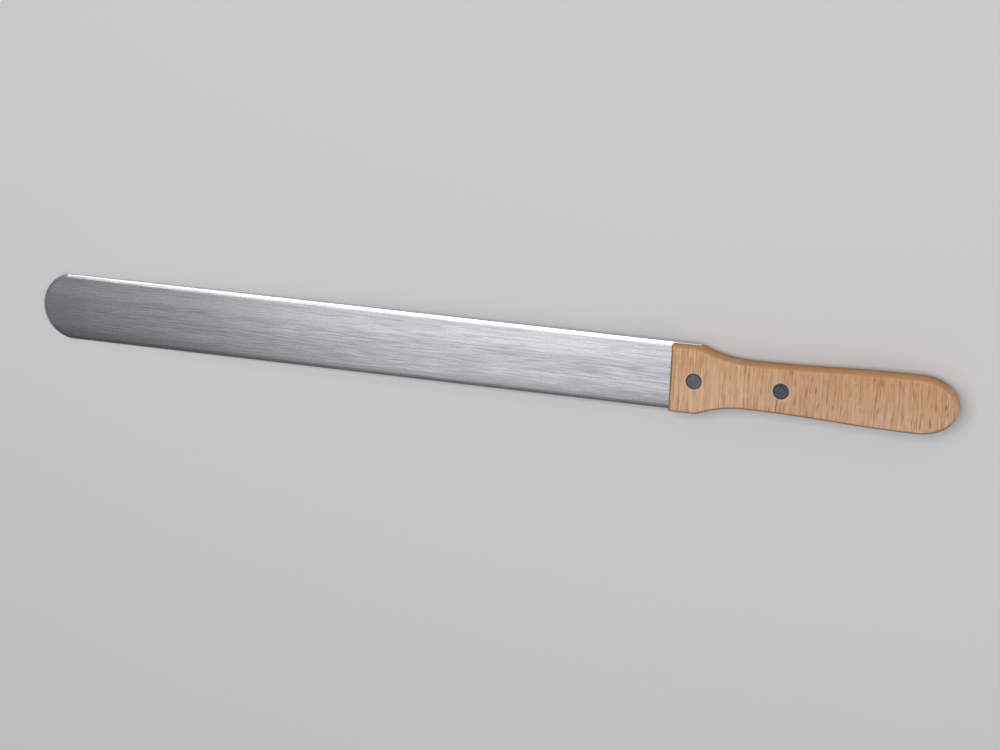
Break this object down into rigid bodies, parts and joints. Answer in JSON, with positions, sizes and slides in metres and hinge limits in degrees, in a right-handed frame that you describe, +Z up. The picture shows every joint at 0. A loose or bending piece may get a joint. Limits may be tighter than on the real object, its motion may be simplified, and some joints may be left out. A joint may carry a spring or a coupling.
{
  "type": "laboratory spatula",
  "caption": "Long lab spatula: a flexible taper-ground steel blade with a round tip, riveted into a flat waisted wooden handle, for spreading and scraping.",
  "frame": {"origin": "centre of the footprint, on the surface that the spatula lies on", "axes": "+X from the blade's tip towards the handle's end, +Y across the width, +Z up; the tool lies on its tip and on the handle's front edge, tilted by about one degree"},
  "size_m": [0.4279, 0.031, 0.0142],
  "materials": {
    "blade_steel": "ground lengthwise, satin",
    "handle_wood": "smooth beech with ray flecks, oiled",
    "rivet_metal": "dull dark grey, sanded flush"
  },
  "bodies": {
    "root": {"blade": "blade_steel", "upper_scale": "handle_wood", "lower_scale": "handle_wood", "rivets": "rivet_metal"}
  },
  "joints": []
}
